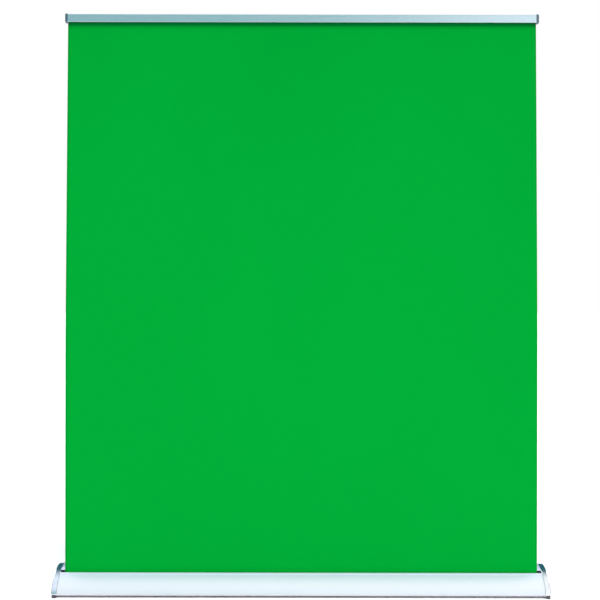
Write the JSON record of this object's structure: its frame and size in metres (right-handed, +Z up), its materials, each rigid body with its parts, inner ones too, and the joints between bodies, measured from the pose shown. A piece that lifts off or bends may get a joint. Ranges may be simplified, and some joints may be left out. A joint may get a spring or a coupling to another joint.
{
  "type": "roll-up backdrop stand",
  "caption": "Roll-up green chroma-key backdrop: cloth drawn from a spring roller in a long metal floor base up to a top rail on telescopic poles",
  "frame": {"origin": "on the floor, under the middle of the base", "axes": "+Z up along the poles; +X along the base, to the right as one looks at the cloth's front; the cloth's front faces -Y"},
  "size_m": [1.89, 0.2656, 2.2268],
  "materials": {
    "satin_aluminium": "satin anodised, brushed lengthwise",
    "pole_aluminium": "clear anodised tube",
    "chrome": "bright chromed moulding",
    "steel": "zinc plated",
    "black_plastic": "fine matte moulding",
    "dark_gloss": "glossy dark grey-blue moulding",
    "rubber": "soft black rubber",
    "green_cloth": "matte wrinkle-resistant chroma green polyester"
  },
  "bodies": {
    "base": {"base_plate": "steel", "front_shell": "satin_aluminium", "rear_shell": "satin_aluminium", "slot_guard_front": "black_plastic", "slot_guard_rear": "black_plastic", "bearing_bush_right": "black_plastic", "spring_mandrel": "steel", "torsion_spring": "steel", "backdrop_fabric": "green_cloth", "end_plate_left": "steel", "plate_screw_front_left": "steel", "plate_screw_rear_left": "steel", "end_cap_left": "chrome", "pole_socket_left": "black_plastic", "socket_collar_left": "black_plastic", "pole_tube_1_left": "pole_aluminium", "end_plate_right": "steel", "plate_screw_front_right": "steel", "plate_screw_rear_right": "steel", "end_cap_right": "chrome", "pole_socket_right": "black_plastic", "socket_collar_right": "black_plastic", "pole_tube_1_right": "pole_aluminium"},
    "roller": {"roller_tube": "pole_aluminium", "roller_plug_left": "black_plastic", "roller_plug_right": "black_plastic", "spring_anchor": "black_plastic", "fabric_roll": "green_cloth"},
    "rail": {"top_rail": "satin_aluminium", "hem_rod": "steel", "rail_end_left": "dark_gloss", "rail_bracket_left": "black_plastic", "bracket_screw_left": "steel", "rail_end_right": "dark_gloss", "rail_bracket_right": "black_plastic", "bracket_screw_right": "steel"},
    "stage_2_left": {"pole_tube_2_left": "pole_aluminium"},
    "stage_3_left": {"pole_tube_3_left": "pole_aluminium"},
    "stage_4_left": {"pole_tube_4_left": "pole_aluminium", "pole_head_left": "black_plastic"},
    "lock_1_left": {"twist_lock_1_left": "black_plastic"},
    "lock_2_left": {"twist_lock_2_left": "black_plastic"},
    "lock_3_left": {"twist_lock_3_left": "black_plastic"},
    "stage_2_right": {"pole_tube_2_right": "pole_aluminium"},
    "stage_3_right": {"pole_tube_3_right": "pole_aluminium"},
    "stage_4_right": {"pole_tube_4_right": "pole_aluminium", "pole_head_right": "black_plastic"},
    "lock_1_right": {"twist_lock_1_right": "black_plastic"},
    "lock_2_right": {"twist_lock_2_right": "black_plastic"},
    "lock_3_right": {"twist_lock_3_right": "black_plastic"},
    "foot_pad_front_left": {"foot_pad_front_left": "rubber"},
    "foot_stem_front_left": {"foot_stem_front_left": "steel"},
    "foot_pad_rear_left": {"foot_pad_rear_left": "rubber"},
    "foot_stem_rear_left": {"foot_stem_rear_left": "steel"},
    "foot_pad_front_right": {"foot_pad_front_right": "rubber"},
    "foot_stem_front_right": {"foot_stem_front_right": "steel"},
    "foot_pad_rear_right": {"foot_pad_rear_right": "rubber"},
    "foot_stem_rear_right": {"foot_stem_rear_right": "steel"}
  },
  "joints": [
    {"name": "rail_slide", "type": "slide", "parent": "base", "child": "rail", "axis": [0, 0, 1], "range_m": [-1.44, 0], "deforming": ["backdrop_fabric"]},
    {"name": "roller_spin", "type": "hinge", "parent": "base", "child": "roller", "pos_m": [0, -0.0369, 0.043], "axis": [1, 0, 0], "range_deg": [0, 4600]},
    {"name": "stage_2_left_slide", "type": "slide", "parent": "base", "child": "stage_2_left", "axis": [0, 0, 1], "range_m": [-0.48, 0]},
    {"name": "stage_3_left_slide", "type": "slide", "parent": "stage_2_left", "child": "stage_3_left", "axis": [0, 0, 1], "range_m": [-0.48, 0]},
    {"name": "stage_4_left_slide", "type": "slide", "parent": "stage_3_left", "child": "stage_4_left", "axis": [0, 0, 1], "range_m": [-0.48, 0]},
    {"name": "lock_1_left_twist", "type": "hinge", "parent": "base", "child": "lock_1_left", "pos_m": [-0.5, 0.006, 0.6], "axis": [0, 0, 1], "range_deg": [0, 90]},
    {"name": "lock_2_left_twist", "type": "hinge", "parent": "stage_2_left", "child": "lock_2_left", "pos_m": [-0.5, 0.006, 1.125], "axis": [0, 0, 1], "range_deg": [0, 90]},
    {"name": "lock_3_left_twist", "type": "hinge", "parent": "stage_3_left", "child": "lock_3_left", "pos_m": [-0.5, 0.006, 1.65], "axis": [0, 0, 1], "range_deg": [0, 90]},
    {"name": "stage_2_right_slide", "type": "slide", "parent": "base", "child": "stage_2_right", "axis": [0, 0, 1], "range_m": [-0.48, 0]},
    {"name": "stage_3_right_slide", "type": "slide", "parent": "stage_2_right", "child": "stage_3_right", "axis": [0, 0, 1], "range_m": [-0.48, 0]},
    {"name": "stage_4_right_slide", "type": "slide", "parent": "stage_3_right", "child": "stage_4_right", "axis": [0, 0, 1], "range_m": [-0.48, 0]},
    {"name": "lock_1_right_twist", "type": "hinge", "parent": "base", "child": "lock_1_right", "pos_m": [0.5, 0.006, 0.6], "axis": [0, 0, 1], "range_deg": [0, 90]},
    {"name": "lock_2_right_twist", "type": "hinge", "parent": "stage_2_right", "child": "lock_2_right", "pos_m": [0.5, 0.006, 1.125], "axis": [0, 0, 1], "range_deg": [0, 90]},
    {"name": "lock_3_right_twist", "type": "hinge", "parent": "stage_3_right", "child": "lock_3_right", "pos_m": [0.5, 0.006, 1.65], "axis": [0, 0, 1], "range_deg": [0, 90]},
    {"name": "foot_front_left_height", "type": "slide", "parent": "base", "child": "foot_pad_front_left", "axis": [0, 0, 1], "range_m": [-0.005, 0]},
    {"name": "foot_front_left_screw", "type": "hinge", "parent": "foot_pad_front_left", "child": "foot_stem_front_left", "pos_m": [-0.935, -0.1245, 0.0118], "axis": [0, 0, 1], "range_deg": [-1440, 0]},
    {"name": "foot_rear_left_height", "type": "slide", "parent": "base", "child": "foot_pad_rear_left", "axis": [0, 0, 1], "range_m": [-0.005, 0]},
    {"name": "foot_rear_left_screw", "type": "hinge", "parent": "foot_pad_rear_left", "child": "foot_stem_rear_left", "pos_m": [-0.935, 0.1245, 0.0118], "axis": [0, 0, 1], "range_deg": [-1440, 0]},
    {"name": "foot_front_right_height", "type": "slide", "parent": "base", "child": "foot_pad_front_right", "axis": [0, 0, 1], "range_m": [-0.005, 0]},
    {"name": "foot_front_right_screw", "type": "hinge", "parent": "foot_pad_front_right", "child": "foot_stem_front_right", "pos_m": [0.935, -0.1245, 0.0118], "axis": [0, 0, 1], "range_deg": [-1440, 0]},
    {"name": "foot_rear_right_height", "type": "slide", "parent": "base", "child": "foot_pad_rear_right", "axis": [0, 0, 1], "range_m": [-0.005, 0]},
    {"name": "foot_rear_right_screw", "type": "hinge", "parent": "foot_pad_rear_right", "child": "foot_stem_rear_right", "pos_m": [0.935, 0.1245, 0.0118], "axis": [0, 0, 1], "range_deg": [-1440, 0]}
  ],
  "couplings": [
    {"joint": "roller_spin", "follows": "rail_slide", "rad_per_m": -54.645},
    {"joint": "stage_2_left_slide", "follows": "rail_slide", "ratio": 0.33333},
    {"joint": "stage_3_left_slide", "follows": "rail_slide", "ratio": 0.33333},
    {"joint": "stage_4_left_slide", "follows": "rail_slide", "ratio": 0.33333},
    {"joint": "stage_2_right_slide", "follows": "rail_slide", "ratio": 0.33333},
    {"joint": "stage_3_right_slide", "follows": "rail_slide", "ratio": 0.33333},
    {"joint": "stage_4_right_slide", "follows": "rail_slide", "ratio": 0.33333},
    {"joint": "foot_front_left_screw", "follows": "foot_front_left_height", "rad_per_m": 5026.5},
    {"joint": "foot_rear_left_screw", "follows": "foot_rear_left_height", "rad_per_m": 5026.5},
    {"joint": "foot_front_right_screw", "follows": "foot_front_right_height", "rad_per_m": 5026.5},
    {"joint": "foot_rear_right_screw", "follows": "foot_rear_right_height", "rad_per_m": 5026.5}
  ]
}
